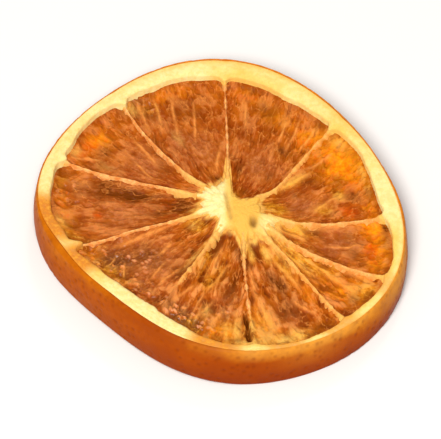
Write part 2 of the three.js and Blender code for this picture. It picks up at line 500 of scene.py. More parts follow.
# %% Materials
class Finish(Wiring):
    """A material's own tree, with one Principled shader."""

    def __init__(self, name):
        self.material = bpy.data.materials.new(name)
        self.material.use_nodes = True
        self.tree = self.material.node_tree
        self.tree.nodes.clear()
        self.shader = self.tree.nodes.new("ShaderNodeBsdfPrincipled")
        output = self.tree.nodes.new("ShaderNodeOutputMaterial")
        self.fill(output.inputs["Surface"], self.shader.outputs[0])
        self.place = self.tree.nodes.new("ShaderNodeTexCoord").outputs["Object"]

    def set(self, **values):
        """Sets or links the shader's sockets, named with _ for a space."""
        for label, value in values.items():
            self.fill(self.shader.inputs[label.replace("_", " ")], value)

    def mark(self, name, output="Fac"):
        """A value that the mesh's points carry."""
        return self.add("ShaderNodeAttribute", attribute_name=name).outputs[output]

    def tint(self, colour, share, new_colour):
        """The colour, with a share of a new one over it."""
        inputs = {0: share, 6: colour, 7: new_colour}
        return self.add("ShaderNodeMix", inputs, data_type="RGBA", clamp_factor=True).outputs[2]

    def layers(self, colour, *layers):
        """The colour with layers over it, from the lowest up: a share and a colour for each."""
        for share, new_colour in layers:
            colour = self.tint(colour, share, new_colour)
        return colour

    def group(self, tree, **values):
        node = self.add("ShaderNodeGroup", node_tree=tree)
        for label, value in values.items():
            self.fill(node.inputs[label.replace("_", " ")], value)
        return node.outputs[0]

    def bump(self, height, distance):
        inputs = {"Height": height, "Distance": distance, "Strength": 1.0}
        self.set(Normal=self.add("ShaderNodeBump", inputs).outputs[0])

    def done(self):
        print(self.material.name, "has", len(self.tree.nodes), "nodes")
        return self.material


def shade(red, green, blue):
    """A colour as the eye reads it, 0 to 255, in the linear values that a shader takes."""
    seen = np.array([red, green, blue]) / 255
    linear = np.where(seen <= 0.04045, seen / 12.92, ((seen + 0.055) / 1.055) ** 2.4)
    return (*linear.tolist(), 1.0)


print("amber pulp, as a shader takes it:", [round(part, 3) for part in shade(188, 96, 12)])

# %% [markdown]
# Effects that several finishes share
#
# Dried fruit has no even colour anywhere. Two small shader groups serve every material: blotches
# of a chosen size, and a fine dry grain for the bump. Each is built once, and each material
# gives it values of its own.

# %% Blotches and dry grain
def blotch_group():
    inputs = (
        ("Place", "NodeSocketVector", None),
        ("Size", "NodeSocketFloat", 3.0),
        ("Softness", "NodeSocketFloat", 0.2),
    )
    wiring = Wiring("blotches", "ShaderNodeTree", inputs, ("Share", "NodeSocketFloat"))
    scale = wiring.math("DIVIDE", 1 / MM, wiring.given["Size"])
    noise = wiring.noise(wiring.given["Place"], scale, detail=3.0, roughness=0.6)[0]
    low = wiring.math("SUBTRACT", 0.5, wiring.given["Softness"])
    high = wiring.plus(0.5, wiring.given["Softness"])
    return wiring.end(wiring.fade(noise, low, high))


def grain_group():
    inputs = (
        ("Place", "NodeSocketVector", None),
        ("Size", "NodeSocketFloat", 0.3),
        ("Coarse", "NodeSocketFloat", 0.5),
    )
    wiring = Wiring("dry_grain", "ShaderNodeTree", inputs, ("Height", "NodeSocketFloat"))
    scale = wiring.math("DIVIDE", 1 / MM, wiring.given["Size"])
    fine = wiring.noise(wiring.given["Place"], scale, detail=4.0, roughness=0.7)[0]
    wide = wiring.noise(wiring.given["Place"], wiring.times(scale, 0.22))[0]
    return wiring.end(wiring.plus(fine, wiring.times(wide, wiring.given["Coarse"])))


blotch_tree = blotch_group()
grain_tree = grain_group()


def blotches(finish, size, softness=0.2):
    """Soft blotches of about a size in mm, as shares from 0 to 1."""
    return finish.group(blotch_tree, Place=finish.place, Size=size, Softness=softness)


def dry_grain(finish, size, coarse):
    return finish.group(grain_tree, Place=finish.place, Size=size, Coarse=coarse)


# %% [markdown]
# Camera, floor and light
#
# The slice was seen from about 54 degrees above its face, as a small part of a wide picture, so
# its near and far sides show at one scale. A long lens from well away gives the same. One broad
# lamp, high in front and a little to the left, gives the soft shadows inside the rim, a small one
# behind makes the sticky pulp glint, and a pale room fills in.

# %% The stage
VIEW_DISTANCE = 2.0
VIEW_ELEVATION = 54
SENSOR_WIDTH_MM = 36
FRAMED_WIDTH = 0.0755
aim = np.array([0, 0, 0.5 * (cad_low[2] + cad_high[2])])
away = VIEW_DISTANCE * np.array([0, -cosine(VIEW_ELEVATION), sine(VIEW_ELEVATION)])


def look_at(thing, position, target):
    direction = Vector(target) - Vector(position)
    thing.location = position
    thing.rotation_euler = direction.to_track_quat("-Z", "Y").to_euler()


camera_data = bpy.data.cameras.new("camera")
camera_data.sensor_width = SENSOR_WIDTH_MM
camera_data.lens = SENSOR_WIDTH_MM * VIEW_DISTANCE / FRAMED_WIDTH
camera = make_object("camera", camera_data)
look_at(camera, aim + away, aim)
bpy.context.scene.camera = camera
print("lens, mm:", round(camera_data.lens))


def lamp(name, position, size, power):
    data = bpy.data.lights.new(name, "AREA")
    data.shape = "DISK"
    data.size = size
    data.energy = power
    data.color = (1.0, 0.98, 0.95)
    look_at(make_object(name, data), position, (0, 0, 0))


lamp("broad_lamp", position=(-0.08, -0.38, 0.62), size=0.3, power=5.2)
lamp("glint_lamp", position=(0.1, 0.5, 0.55), size=0.12, power=0.5)

world = bpy.data.worlds.new("pale_room")
world.use_nodes = True
world.node_tree.nodes["Background"].inputs["Color"].default_value = (1.0, 0.97, 0.94, 1)
world.node_tree.nodes["Background"].inputs["Strength"].default_value = 0.45
bpy.context.scene.world = world
bpy.context.scene.view_settings.view_transform = "Standard"

FLOOR_HALF = 0.6
floor_mesh = bpy.data.meshes.new("floor")
corners = [(x * FLOOR_HALF, y * FLOOR_HALF, 0) for x, y in ((-1, -1), (1, -1), (1, 1), (-1, 1))]
floor_mesh.from_pydata(corners, [], [(0, 1, 2, 3)])
floor = make_object("floor", floor_mesh)
pale = Finish("pale_floor")
pale.set(Base_Color=shade(238, 237, 235), Roughness=0.8)
floor_mesh.materials.append(pale.material)

# %% [markdown]
# The rim in section
#
# Rind and pith share the rim's section: so far in from the outer side, and so far up. One function
# puts such a point at every angle, leaning with the askew cut and lifting with the curl, so both
# pieces are rows of such points, joined into bands that close on themselves.

# %% A point of the rim's section, all the way round
def rim_row(angle, inset, height):
    level = np.clip(height / RIM_HEIGHT, 0, 1)
    radius = face_radius(angle) + RIND_BULGE * np.sin(math.pi * level) - inset
    x, y = radius * cosine(angle), radius * sine(angle)
    lift = mix(np.maximum(curl(x, y), 0), curl(x, y), level)
    return np.stack([x, y - BASE_SHIFT * (1 - level), height + lift], -1)


class Band:
    """A band round the slice: rows of its section, each with the marks that its points carry."""

    def __init__(self, columns):
        self.angle = np.linspace(-180, 180, columns, endpoint=False)
        self.rows = []
        self.marks = {}

    def row(self, inset, height, **marks):
        self.rows.append(rim_row(self.angle, inset, height))
        for name, value in marks.items():
            self.marks.setdefault(name, []).append(np.broadcast_to(value, self.angle.shape))

    def piece(self, name):
        faces = grid_quads(len(self.rows), len(self.angle), wrap_rows=True)
        marks = {mark: np.concatenate(values) for mark, values in self.marks.items()}
        return make_piece(name, np.stack(self.rows), faces, marks)


rim_top = rim_row(all_round, 0, RIM_HEIGHT)[:, 2]
print("the rim's top lies at", rim_top.min().round(1), "to", rim_top.max().round(1), "mm")

# %% [markdown]
# The rind
#
# Rind is the thin orange skin. Dried, it turns leathery and its oil glands collapse into pits,
# so its side is pebbled and dimpled. Geometry Nodes press the pits into the plain band, because
# they repeat over the whole skin by one rule: the cells of a Voronoi pattern, a pit in each.
# The skin is darkest below and golden along its upper edge, but not alike all round, so the
# band's points carry marks for that, and the finish lays its colours by them.

# %% The tree that presses the pits
def oil_gland_growth():
    growth = Growth("oil_glands", (
        ("Gland spacing", "NodeSocketFloat", 1.3),
        ("Pit depth", "NodeSocketFloat", 0.1),
        ("Dimple depth", "NodeSocketFloat", 0.4),
        ("Crease depth", "NodeSocketFloat", 0.14),
    ))
    given, place = growth.given, growth.place()
    cells = growth.vector("DIVIDE", place, growth.combine(*[given["Gland spacing"]] * 3))
    pit = growth.fade(growth.voronoi(cells)["Distance"], 0.42, 0.1)
    dimple = growth.swing(place, 0.14, given["Dimple depth"])
    crease = growth.swing(growth.vector("MULTIPLY", place, (1.0, 1.0, 0.35)), 0.55, given["Crease depth"])
    height = growth.math("SUBTRACT", growth.plus(dimple, crease), growth.times(pit, given["Pit depth"]))
    skin = growth.named("skin")
    moved = growth.swell(growth.mesh, growth.times(height, skin))
    growth.end(growth.store(moved, "pit", growth.times(pit, skin)))
    return growth


oil_glands = oil_gland_growth()

# %% The finish of the rind
def peel_finish():
    finish = Finish("dried_peel")
    blotch = blotches(finish, 7.0)
    fleck = blotches(finish, 1.4)
    height = finish.plus(finish.mark("level"), finish.times(blotch, 0.25))
    lip = finish.times(finish.mark("lip"), finish.plus(0.6, finish.times(fleck, 0.4)))
    skin = finish.layers(
        shade(140, 50, 0),
        (finish.fade(height, 0.1, 0.75), shade(168, 72, 0)),
        (finish.fade(height, 0.72, 1.15), shade(218, 128, 8)),
        (finish.mark("left"), shade(190, 94, 2)),
        (lip, shade(232, 160, 62)),
        (finish.mark("deep"), shade(132, 42, 0)),
        (finish.times(fleck, 0.4), shade(150, 60, 0)),
        (finish.times(finish.mark("pit"), 0.35), shade(116, 40, 0)),
    )
    finish.set(Base_Color=skin, Specular_IOR_Level=0.05)
    finish.set(Roughness=finish.fade(blotch, 0.0, 1.0, 0.42, 0.55))
    finish.bump(dry_grain(finish, 0.35, 0.6), 0.05 * MM)
    return finish.done()


dried_peel = peel_finish()

# %% The band of rind
RIND_COLUMNS = 960
RIND_FACE = 0.22
# Where the rind curled over the edge: the middle, the reach, and how much more of it shows
CURLED_OVER = ((-118, 38, 0.5), (-164, 11, 0.7))
TOP_ROUND = 0.5
RIND_THICKNESS = 1.2
BASE_CLEARANCE = 0.06
# Sides of the rind, their middle and reach: yellower on the left, its top edge darkened with
# painted shade on the near left, its lower part redder in front
SIDES = {"left": (-160, 40), "shaded_top": (-115, 24), "ruddy": (-86, 14)}
LIP = ((-58, 30, 1.0), (-82, 3.5, 0.45))  # where its upper edge is golden
LOWER_LIP = ((-62, 10, 0.35), (-25, 14, 1.0))  # and where the lip reaches lower


def rind_face(angle):
    """How wide the rind shows on the cut face."""
    return RIND_FACE + hills(angle, CURLED_OVER)


rind_band = Band(RIND_COLUMNS)
shown = rind_face(rind_band.angle)
side = {name: bell(turn_between(rind_band.angle, middle), reach) for name, (middle, reach) in SIDES.items()}


def rind_row(inset, height, skin):
    level = height / RIM_HEIGHT
    # deep: painted shade along the top edge on the near left, and the lower part redder in front
    deep = 0.35 * side["shaded_top"] * fade(level, 0.6, 0.95) + 0.4 * side["ruddy"] * fade(level, 0.95, 0.6)
    upper_lip = np.minimum(hills(rind_band.angle, LIP), 1) * fade(level, 0.66, 0.97)
    lower_lip = hills(rind_band.angle, LOWER_LIP) * fade(level, 0.25, 0.8)
    rind_band.row(
        inset, height, skin=skin, level=level * (1 - 0.4 * side["shaded_top"]), left=0.6 * side["left"],
        lip=np.maximum(upper_lip, lower_lip), deep=deep,
    )


for height in np.linspace(0.4, RIM_HEIGHT - TOP_ROUND, 34):
    rind_row(0.0, height, 1)
for turn in np.linspace(15, 90, 6):
    rind_row(shown * (1 - cosine(turn)), RIM_HEIGHT - TOP_ROUND * (1 - sine(turn)), mix(1.0, 0.3, turn / 90))
# Its inner side, which the pith hides, and its foot
for inset, height in (
    (shown + 0.12, RIM_HEIGHT - 0.3), (RIND_THICKNESS, RIM_HEIGHT / 2), (RIND_THICKNESS, 0.5),
    (0.7, BASE_CLEARANCE), (0.4, BASE_CLEARANCE), (0.12, 0.15),
):
    rind_row(inset, height, 0)
rind = grow(rind_band.piece("rind"), oil_glands, Material=dried_peel, Seed=3.0)
join_body(rind)

# %% [markdown]
# The pith
#
# Inside the rind lies the white pith, which dries to a firm cream-coloured band with a slightly
# spongy face. Where the ten membranes meet it the band has small teeth. Juice has stained it
# orange along the near and left sides. It is a second closed band: over the upper face, down
# the inner wall past the pulp, and back under the lower face. Its finish is cream, and takes the
# stains, the whiter stretches and the shadow at the wall's foot from marks on the points.

# %% The tree that makes it spongy
def spongy_growth():
    growth = Growth("spongy_pith", (
        ("Swell", "NodeSocketFloat", 0.3),
        ("Swell size", "NodeSocketFloat", 2.6),
        ("Pore spacing", "NodeSocketFloat", 0.55),
        ("Pore depth", "NodeSocketFloat", 0.07),
    ))
    given, place = growth.given, growth.place()
    swell = growth.swing(place, growth.math("DIVIDE", 1.0, given["Swell size"]), given["Swell"], detail=3.0)
    cells = growth.vector("DIVIDE", place, growth.combine(*[given["Pore spacing"]] * 3))
    pore = growth.times(growth.fade(growth.voronoi(cells)["Distance"], 0.6, 0.1), given["Pore depth"])
    height = growth.times(growth.math("SUBTRACT", swell, pore), growth.named("skin"))
    growth.end(growth.swell(growth.mesh, height))
    return growth


spongy_pith = spongy_growth()

# %% Where juice has stained the pith
# Each stain: its middle, how far it goes to either side, how soft its ends are, its strength
STAINS = ((-166, 18, 4, 1.1), (-93, 9, 4, 1.0), (-71, 7, 4, 0.8), (-52, 6, 3, 0.7), (-31, 4, 3, 0.6))
# Spots that stayed pale in a stain: their middle, reach and strength
PALE_SPOTS = ((-163, 3, 0.6), (-81, 4, 0.8))
# In the same way, the stretches where the pith is whiter, and where its outer part is golden
WHITE_STRETCHES = (
    (-122, 20, 5, 0.85), (160, 16, 5, 0.7), (119, 24, 5, 0.8),
    (4, 12, 5, 0.8), (25, 8, 5, 0.5), (56, 12, 5, 0.55),
)
GOLDEN_STRETCHES = ((78, 52, 15, 1.0),)


def stretches(angle, table):
    """How strongly an angle lies in the stretches of a table that have soft ends."""
    return sum(
        strength * fade(np.abs(turn_between(angle, middle)), half + soft, half - soft)
        for middle, half, soft, strength in table
    )


def pith_stain(angle):
    stain = stretches(angle, STAINS)
    for middle, reach, strength in PALE_SPOTS:
        stain = stain * (1 - strength * bell(turn_between(angle, middle), reach))
    return stain


stained_share = np.mean(pith_stain(all_round) > 0.5)
print("the pith is stained over", round(100 * stained_share), "percent of its round")

# %% The finish of the pith, which the core wears too
def pith_finish():
    finish = Finish("dried_pith")
    blotch = blotches(finish, 5.0, 0.25)
    fleck = blotches(finish, 0.9, 0.15)
    blotchy = finish.plus(0.75, finish.times(fleck, 0.4))
    juice = finish.tint(shade(206, 110, 14), fleck, shade(230, 154, 48))
    whitish = finish.times(finish.mark("white"), finish.fade(fleck, 0.0, 1.0, 1.0, 0.6))
    cream = finish.layers(
        shade(249, 218, 128),
        (blotch, shade(245, 198, 92)),
        (finish.times(fleck, 0.4), shade(234, 180, 78)),
        (finish.mark("golden"), shade(236, 178, 70)),
        (finish.times(finish.mark("stain"), blotchy), juice),
        (whitish, shade(244, 228, 160)),
        (finish.mark("shadow"), shade(120, 74, 14)),
    )
    finish.set(Base_Color=cream, Roughness=0.65, Specular_IOR_Level=0.25)
    finish.set(Subsurface_Weight=0.2, Subsurface_Radius=(1.0, 0.7, 0.35), Subsurface_Scale=0.6 * MM)
    finish.bump(dry_grain(finish, 0.28, 0.8), 0.06 * MM)
    return finish.done()


dried_pith = pith_finish()

# %% The band of pith
PITH_COLUMNS = 900
TOOTH_HALF_WIDTH = 0.9
OUTER_DROP, EDGE_DROP = 0.55, 0.35  # how far the face falls at the rind and over the pulp
WALL_DEPTH = SINK_ABOVE - EDGE_DROP + 0.5
PITH_UNDER_RIND = 0.05
WOBBLE = ((13, 0.07, 10), (23, 0.05, 4), (41, 0.03, 2))  # small waves of the inner edge
# Stretches where the pith is broader: their middle, their reach and how much
BROADER = (
    (-111, 16, 1.4), (-81, 7, 0.4), (0, 8, 0.3), (122, 15, 0.7), (70, 10, 0.35),
    (154, 6, 1.0), (168, 9, 0.6), (-169, 7, 0.8), (-150, 6, 0.4),
)


def teeth(angle):
    """How far the pith reaches in along the membranes."""
    return sum(
        tooth * bell(np.radians(turn_between(angle, rim)) * FACE_RADIUS, TOOTH_HALF_WIDTH)
        for rim, _, _, tooth, _ in MEMBRANES
    )


def face_off(share):
    """How far the pith's face lies under its crest, from its outer edge at 0 to its inner at 1."""
    return OUTER_DROP * (1 - fade(share, 0.0, 0.1)) + EDGE_DROP * share**7


pith_band = Band(PITH_COLUMNS)
full_width = pith_width(pith_band.angle) + teeth(pith_band.angle) + waves_at(pith_band.angle, WOBBLE)
full_width = full_width + hills(pith_band.angle, BROADER)
whiteness = stretches(pith_band.angle, WHITE_STRETCHES)
goldenness = stretches(pith_band.angle, GOLDEN_STRETCHES)
face_stain = pith_stain(pith_band.angle)
outer_edge = rind_face(pith_band.angle) - PITH_UNDER_RIND
face_shares = np.concatenate([[0, 0.05, 0.1], np.linspace(0.15, 1.0, 17)])
wall_drops = np.linspace(0.1, 1.0, 10)


def pith_face(share, height):
    inset = mix(outer_edge, full_width, share)
    rough = fade(share, 0.1, 0.3)
    outer = 0.55 * goldenness * fade(inset, 1.7, 0.7)
    golden = np.maximum(0.35 * fade(share, 0.6, 1.0) * (1 - whiteness), outer)
    white = np.maximum(0.4 * bell(share - 0.3, 0.25), whiteness)
    white = white * (1 - np.minimum(face_stain, 1)) * (1 - outer)
    pith_band.row(inset, height, skin=rough, stain=face_stain, shadow=0, golden=golden, white=white)


def pith_wall(drop, height):
    inset = full_width + WALL_LEAN * drop
    # Juice stain from the face, and towards the foot a stain and a shadow that are painted shade where the
    # wall meets the pulp
    foot = fade(drop, 0.65, 0.95)
    stain = np.maximum(face_stain, 0.5 * foot)
    golden = 0.4 * (1 - whiteness)
    white = whiteness * (1 - np.minimum(stain, 1))
    pith_band.row(inset, height, skin=1, stain=stain, shadow=0.4 * foot, golden=golden, white=white)


for share in face_shares:
    pith_face(share, RIM_HEIGHT - face_off(share))
for drop in wall_drops:
    pith_wall(drop, RIM_HEIGHT - EDGE_DROP - drop * WALL_DEPTH)
for drop in wall_drops[::-1]:
    pith_wall(drop, EDGE_DROP + drop * WALL_DEPTH)
for share in face_shares[::-1]:
    pith_face(share, face_off(share) + 2 * BASE_CLEARANCE)
pith_band.row(outer_edge, RIM_HEIGHT / 2, skin=0, stain=0, shadow=0, golden=0, white=0)
pith = grow(pith_band.piece("pith"), spongy_pith, Material=dried_pith, Seed=11.0)
join_body(pith)

# %% [markdown]
# The pulp
#
# Pulp is thousands of long juice sacs that point from the rind to the core. Dried, they collapse
# into a thin amber film that is folded along the segment, with fine raised walls between the sacs.
# Near the rim some stayed full and stand as beads. Each of the ten segments is one closed piece,
# and its sides lie inside the membranes. Geometry Nodes fold the film by patterns that are
# stretched along the segment. The finish colours it by the very same patterns, and paints
# light on the crests and beads and shade in the furrows and between the beads, so one class
# wires them for both.

# %% The patterns of the sacs, for both kinds of tree
SAC_WIDTH, SAC_LENGTH = 1.3, 4.6
FOLDS_PER_MM = (0.5, 0.19, 1.0)  # across and along the segment
STREAKS_PER_MM = (2.0, 0.42, 1.0)
BEADS_PER_MM = (0.76, 0.62, 1.0)


class Sacs:
    """Wires the patterns: sac walls, how full each sac is, streaks, broad folds and beads."""

    def __init__(self, wiring, place, width, length):
        stretched = wiring.vector("DIVIDE", place, wiring.combine(width, length, 1.0))
        self.wall = wiring.math("ABSOLUTE", wiring.swing(stretched, 1.0, 1.0, detail=3.0))
        self.full = wiring.noise(wiring.vector("ADD", stretched, (31.0, 17.0, 5.0)), 0.7)[0]
        self.streak = wiring.noise(wiring.vector("MULTIPLY", place, STREAKS_PER_MM), 1.0, detail=4.0)[0]
        self.fold = wiring.noise(wiring.vector("MULTIPLY", place, FOLDS_PER_MM), 1.0, detail=2.5)[0]
        cells = wiring.voronoi(wiring.vector("MULTIPLY", place, BEADS_PER_MM))
        self.bead = wiring.fade(cells["Distance"], 0.5, 0.12)


print("a sac is about", SAC_WIDTH, "by", SAC_LENGTH, "mm")

# %% The tree that folds the film
def juice_sac_growth():
    growth = Growth("juice_sacs", (
        ("Sac width", "NodeSocketFloat", SAC_WIDTH),
        ("Sac length", "NodeSocketFloat", SAC_LENGTH),
        ("Sink", "NodeSocketFloat", 0.45),
        ("Streak depth", "NodeSocketFloat", 0.5),
        ("Fold depth", "NodeSocketFloat", 1.8),
        ("Bead height", "NodeSocketFloat", 0.55),
        ("Crumple depth", "NodeSocketFloat", 0.5),
    ))
    given = growth.given
    sacs = Sacs(growth, growth.named("sacs", "FLOAT_VECTOR"), given["Sac width"], given["Sac length"])
    depth = growth.times(given["Sink"], growth.fade(sacs.full, 0.7, 0.3))
    sunk = growth.times(growth.fade(sacs.wall, 0.01, 0.12), depth, -1.0)
    streaked = growth.times(growth.math("SUBTRACT", sacs.streak, 0.5), given["Streak depth"])
    folded = growth.math("SUBTRACT", sacs.fold, 0.5)
    folded = growth.times(folded, given["Fold depth"], growth.named("lively"))
    beaded = growth.times(sacs.bead, given["Bead height"], growth.named("beads"))
    crumpled = growth.swing(growth.place(), 0.4, given["Crumple depth"], detail=3.0)
    height = growth.plus(sunk, streaked, folded, beaded, crumpled)
    height = growth.times(height, growth.named("free"), MM)
    growth.end(growth.move(growth.mesh, Offset=growth.combine(0.0, 0.0, height)))
    return growth


juice_sacs = juice_sac_growth()

# %% The finish of the pulp
def pulp_finish():
    finish = Finish("dried_pulp")
    sacs = Sacs(finish, finish.mark("sacs", "Vector"), SAC_WIDTH, SAC_LENGTH)
    blotch = blotches(finish, 3.5)
    fleck = blotches(finish, 0.9)
    streaky = finish.fade(sacs.streak, 0.38, 0.62)
    uneven = finish.plus(0.5, finish.times(fleck, 0.4), finish.times(streaky, 0.5))
    film_and_sheen, orange_and_glow, golden, beads = (finish.mark(name) for name in ("film_and_sheen", "orange_and_glow", "golden", "beads"))
    red, dark, pale, lively = (finish.mark(name) for name in ("red", "dark", "pale", "lively"))
    rough = finish.math("SUBTRACT", 1.0, finish.times(finish.math("MAXIMUM", film_and_sheen, orange_and_glow), 0.6))
    flesh = finish.layers(
        finish.tint(shade(160, 66, 0), blotch, shade(188, 96, 12)),
        # Painted light on the raised streaks
        (finish.fade(sacs.streak, 0.52, 0.66, 0.0, 0.5), shade(228, 132, 62)),
        # Mauve where the film lies smooth: its own colour and a painted sheen
        (finish.times(film_and_sheen, uneven), finish.tint(shade(158, 80, 26), fleck, shade(194, 112, 60))),
        (finish.times(golden, uneven), finish.tint(shade(184, 106, 4), fleck, shade(224, 148, 36))),
        # Bright orange: the pulp's own colour and a painted glow
        (finish.times(orange_and_glow, uneven), finish.tint(shade(255, 160, 10), fleck, shade(244, 120, 2))),
        (finish.times(red, uneven), shade(214, 82, 0)),
    )
    # Painted light on the crests of the folds, painted shade in the furrows and in the sunken streaks and
    # sacs
    crest = finish.times(finish.fade(sacs.fold, 0.52, 0.62, 0.0, 0.9), lively, rough)
    furrow_shade = finish.times(finish.fade(sacs.fold, 0.48, 0.37, 0.0, 0.87), lively)
    sunk_streak = finish.fade(sacs.streak, 0.46, 0.32, 0.0, 0.5)
    sunk = finish.plus(sunk_streak, finish.fade(sacs.full, 0.45, 0.3, 0.0, 0.4))
    hollow_shade = finish.times(finish.math("MAXIMUM", furrow_shade, sunk), rough)
    # Painted shade round the foot of each bead and a painted highlight on its top
    bead_foot_shade = finish.times(finish.fade(sacs.bead, 0.35, 0.0, 0.0, 0.75), beads)
    bead_top_highlight = finish.times(finish.fade(sacs.bead, 0.35, 0.9, 0.0, 0.8), beads)
    line = finish.times(finish.fade(sacs.wall, 0.03, 0.008), finish.fade(fleck, 0.1, 0.9, 0.1, 0.5), rough)
    thread = finish.math("MAXIMUM", line, finish.times(finish.mark("thread"), uneven, 0.85))
    amber = finish.layers(
        flesh,
        # Painted light on the fold crests
        (crest, finish.tint(shade(236, 148, 76), golden, shade(246, 184, 84))),
        # Painted shade in the furrows and hollows
        (hollow_shade, shade(116, 44, 0)),
        (bead_foot_shade, shade(110, 58, 14)),
        (bead_top_highlight, shade(240, 166, 114)),
        (finish.times(dark, uneven), shade(112, 50, 0)),
        (thread, finish.tint(shade(232, 144, 66), golden, shade(240, 176, 62))),
        (finish.times(pale, uneven), shade(242, 184, 88)),
    )
    finish.set(Base_Color=amber, Specular_IOR_Level=0.05, Coat_Roughness=0.2)
    finish.set(Coat_Weight=finish.plus(0.02, finish.times(beads, 0.28)))
    finish.set(Roughness=finish.fade(fleck, 0.0, 1.0, 0.4, 0.55))
    finish.set(Subsurface_Weight=0.15, Subsurface_Radius=(1.0, 0.4, 0.12), Subsurface_Scale=0.5 * MM)
    grain = dry_grain(finish, 0.3, 0.8)
    finish.bump(finish.plus(grain, finish.times(sacs.streak, 1.6), finish.times(line, 0.5)), 0.1 * MM)
    return finish.done()


dried_pulp = pulp_finish()
